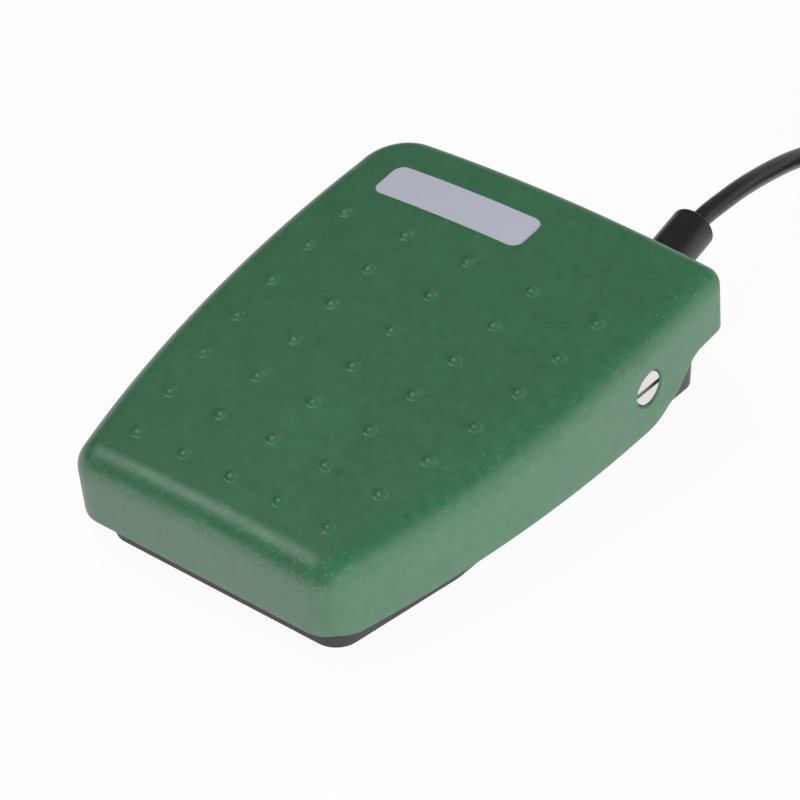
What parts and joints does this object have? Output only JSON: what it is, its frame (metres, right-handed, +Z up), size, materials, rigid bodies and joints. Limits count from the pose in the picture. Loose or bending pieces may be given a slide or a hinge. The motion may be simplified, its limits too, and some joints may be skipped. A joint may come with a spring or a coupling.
{
  "type": "industrial foot switch",
  "caption": "Industrial foot switch: a studded cast hood pedal hinged over a low tray, with return springs, a lever-operated snap switch and a cable leaving through a rubber sleeve.",
  "frame": {"origin": "centre of the rubber mat's rest face, on the floor", "axes": "+Y from the toe end to the cable end, +Z up, +X to the right of someone who stands at the toe end and faces the cable"},
  "size_m": [0.1657, 0.355, 0.0539],
  "materials": {
    "base_paint": "satin",
    "pedal_paint": "satin",
    "mat_rubber": "matte",
    "stop_rubber": "matte",
    "label_film": "satin",
    "nickel": "polished",
    "zinc": "satin",
    "spring_steel": "satin",
    "sheet_steel": "satin",
    "switch_black": "matte",
    "switch_red": "satin",
    "button_ivory": "satin",
    "brass": "satin",
    "connector_red": "satin",
    "sleeve_rubber": "satin",
    "cable_black": "satin",
    "core_brown": "satin",
    "core_blue": "satin",
    "core_green_yellow": "satin"
  },
  "bodies": {
    "base": {"base_tray": "base_paint", "rubber_mat": "mat_rubber", "pivot_screw_right": "nickel", "pivot_screw_left": "nickel", "pivot_nuts": "zinc", "return_spring_right": "spring_steel", "return_spring_left": "spring_steel", "stop_bumper": "stop_rubber", "rest_pads": "stop_rubber", "switch_bracket": "sheet_steel", "bracket_screws": "zinc", "switch_case": "switch_black", "switch_cover": "switch_red", "switch_screws": "zinc", "switch_terminals": "brass", "spade_connectors": "connector_red", "lever_pin": "zinc", "cable_sleeve": "sleeve_rubber", "cable_tail": "cable_black", "clamp_saddle": "sheet_steel", "clamp_screws": "zinc", "earth_screw": "brass", "earth_tag": "brass", "lead_brown": "core_brown", "lead_blue": "core_blue", "lead_earth": "core_green_yellow", "cable": "cable_black", "cable_coil": "cable_black", "cable_end": "cable_black", "end_core_brown": "core_brown", "end_core_blue": "core_blue", "end_core_earth": "core_green_yellow"},
    "pedal": {"pedal_cover": "pedal_paint", "label_plate": "label_film", "actuator_screw": "zinc", "actuator_locknut": "zinc"},
    "lever": {"switch_lever": "sheet_steel"},
    "button": {"switch_button": "button_ivory"}
  },
  "joints": [
    {"name": "pedal_press", "type": "hinge", "parent": "base", "child": "pedal", "pos_m": [0, 0.0344, 0.03], "axis": [1, 0, 0], "range_deg": [0, 3.5], "stiffness_Nm_per_rad": 6, "springref_deg": -6.88, "deforming": ["return_spring_right", "return_spring_left"]},
    {"name": "lever_tilt", "type": "hinge", "parent": "base", "child": "lever", "pos_m": [0, 0.007, 0.02385], "axis": [1, 0, 0], "range_deg": [0, 8], "stiffness_Nm_per_rad": 0.0005, "springref_deg": -9.51},
    {"name": "button_push", "type": "slide", "parent": "base", "child": "button", "axis": [0, 0, -1], "range_m": [0, 0.0009], "stiffness_N_per_m": 0.05, "springref_m": -0.0125}
  ],
  "couplings": [
    {"joint": "lever_tilt", "follows": "pedal_press", "ratio": 2.1417},
    {"joint": "button_push", "follows": "pedal_press", "m_per_rad": 0.01285}
  ]
}
